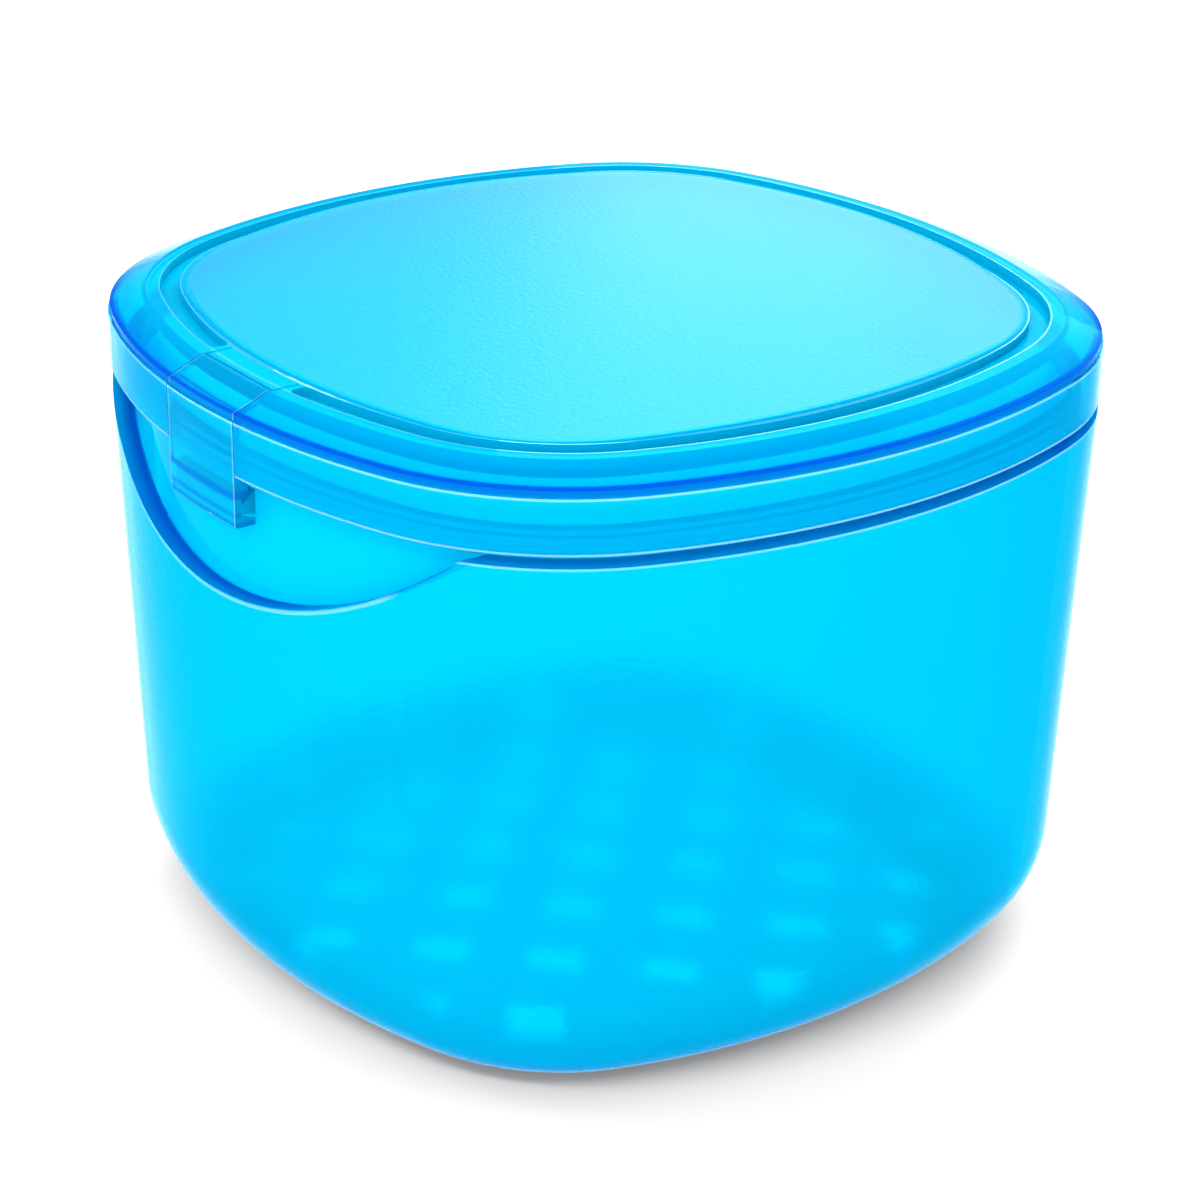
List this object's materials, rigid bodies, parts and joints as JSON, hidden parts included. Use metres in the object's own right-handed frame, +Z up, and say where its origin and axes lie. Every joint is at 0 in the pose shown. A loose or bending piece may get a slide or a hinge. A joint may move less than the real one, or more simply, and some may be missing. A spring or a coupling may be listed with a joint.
{
  "type": "denture case",
  "caption": "Translucent bath case for dentures, with a hinged lid, a front clasp that hooks under a catch, and a strainer basket that lifts out to drain.",
  "frame": {"origin": "middle of the flat base", "axes": "+Z is up, the clasp faces -Y, the hinge is at +Y, and X runs across the case along the hinge axis"},
  "size_m": [0.096, 0.101, 0.0711],
  "materials": {
    "tub_plastic": "translucent cyan, frosted outside",
    "lid_plastic": "translucent cyan, polished skirt and rim, frosted panel",
    "clasp_plastic": "translucent cyan, polished",
    "basket_plastic": "translucent cyan, satin"
  },
  "bodies": {
    "tub": {"tub": "tub_plastic"},
    "lid": {"lid": "lid_plastic"},
    "clasp": {"clasp": "clasp_plastic"},
    "basket": {"basket": "basket_plastic"}
  },
  "joints": [
    {"name": "lid_hinge", "type": "hinge", "parent": "tub", "child": "lid", "pos_m": [0, 0.0504, 0.0615], "axis": [-1, 0, 0], "range_deg": [0, 110]},
    {"name": "clasp_flex", "type": "hinge", "parent": "lid", "child": "clasp", "pos_m": [0, -0.0436, 0.06865], "axis": [-1, 0, 0], "range_deg": [0, 20], "stiffness_Nm_per_rad": 0.05},
    {"name": "basket_lift", "type": "slide", "parent": "tub", "child": "basket", "axis": [0, 0, 1], "range_m": [0, 0.0022]}
  ]
}
